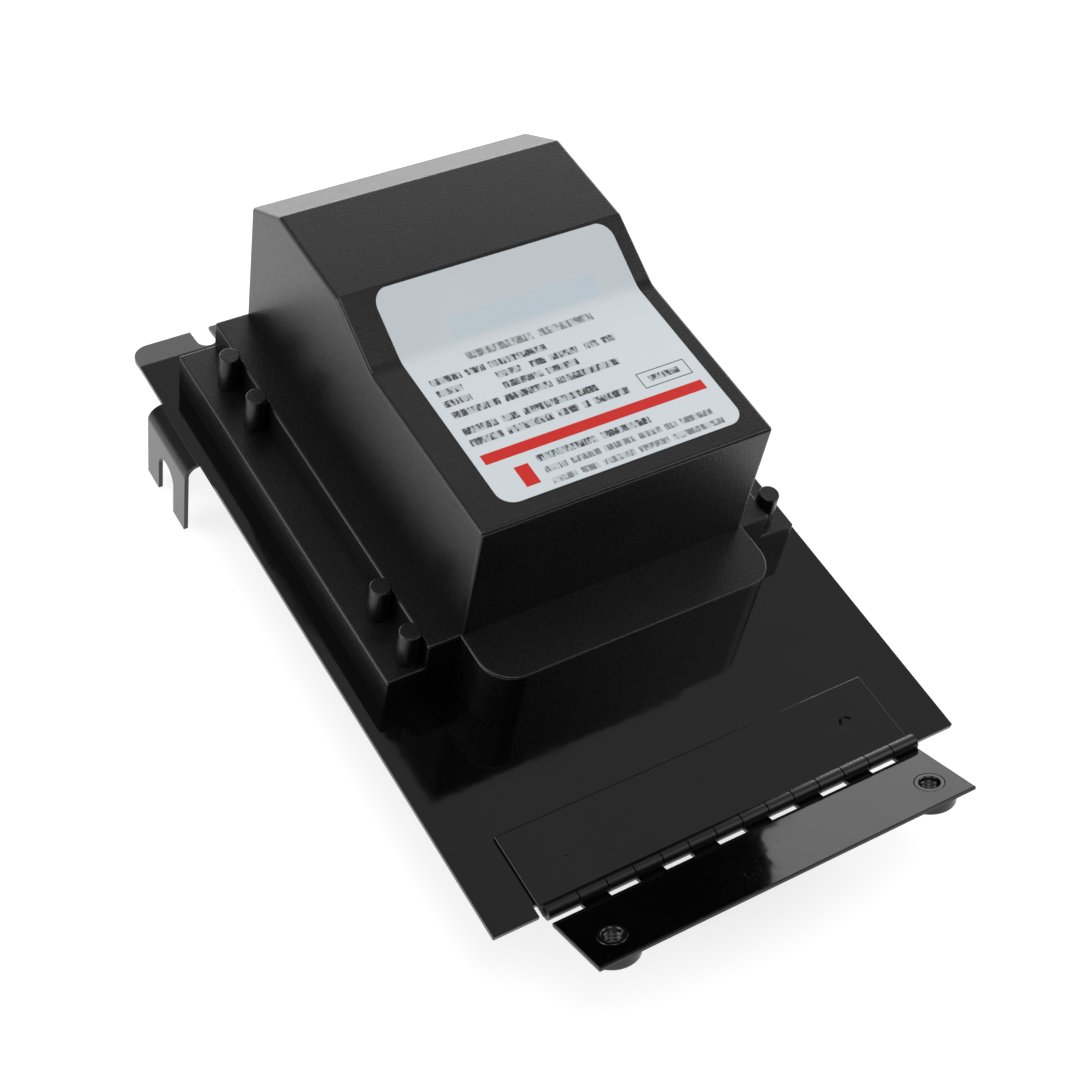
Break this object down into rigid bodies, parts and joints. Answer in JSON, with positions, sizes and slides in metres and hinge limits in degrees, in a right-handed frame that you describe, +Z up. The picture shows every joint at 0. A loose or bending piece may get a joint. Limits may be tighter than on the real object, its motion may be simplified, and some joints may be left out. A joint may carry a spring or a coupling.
{
  "type": "solid state igniter",
  "caption": "Potted high-voltage ignition unit on a painted steel plate with a slotted fork, rear slot and a front hinge leaf for mounting.",
  "frame": {"origin": "centre of the base plate's flat underside, where the unit seats on the burner", "axes": "+X along the hinge to the right, +Y from the hinge to the rear, +Z up through the case"},
  "size_m": [0.1734, 0.2773, 0.1155],
  "materials": {
    "case_plastic": "fine moulded texture, black",
    "black_paint": "gloss black enamel",
    "zinc_plate": "zinc plated, satin",
    "label_film": "printed film label, pale grey blue",
    "resin": "cast black resin",
    "board": "glass epoxy board with solder mask",
    "can_aluminium": "drawn aluminium",
    "film_case": "dipped capacitor case",
    "component_black": "moulded epoxy package",
    "resistor_body": "cement coated body",
    "ferrite": "sintered ferrite",
    "bobbin_nylon": "natural nylon",
    "winding": "enamelled copper wire",
    "insulator_moulding": "brown phenolic moulding",
    "brass": "machined brass",
    "spring_strip": "phosphor bronze strip",
    "bushing_nylon": "black nylon"
  },
  "bodies": {
    "igniter": {"housing_case": "case_plastic", "base_plate": "black_paint", "hinge_fixed_leaf": "black_paint", "hinge_pin": "black_paint", "rating_label": "label_film", "case_screws": "zinc_plate", "potting_compound": "resin", "circuit_board": "board", "bulk_capacitor": "can_aluminium", "film_capacitor": "film_case", "bridge_rectifier": "component_black", "power_transistor": "component_black", "heat_sink": "can_aluminium", "power_resistor": "resistor_body", "filter_choke": "ferrite", "core_left": "ferrite", "core_right": "ferrite", "primary_bobbin": "bobbin_nylon", "primary_coil": "winding", "secondary_bobbin_left": "bobbin_nylon", "secondary_bobbin_right": "bobbin_nylon", "secondary_coil_left": "winding", "secondary_coil_right": "winding", "insulator_left": "insulator_moulding", "insulator_right": "insulator_moulding", "terminal_stud_left": "brass", "terminal_stud_right": "brass", "terminal_nut_left": "brass", "terminal_nut_right": "brass", "contact_spring_left": "spring_strip", "contact_spring_right": "spring_strip", "hv_link_left": "brass", "hv_link_right": "brass", "ground_strap": "brass", "lead_bushing": "bushing_nylon"},
    "mounting_leaf": {"hinge_moving_leaf": "black_paint", "mount_nut_left": "black_paint", "mount_nut_right": "black_paint"}
  },
  "joints": [
    {"name": "leaf_hinge", "type": "hinge", "parent": "igniter", "child": "mounting_leaf", "pos_m": [0, -0.1255, 0.004], "axis": [-1, 0, 0], "range_deg": [-116, 152]}
  ]
}
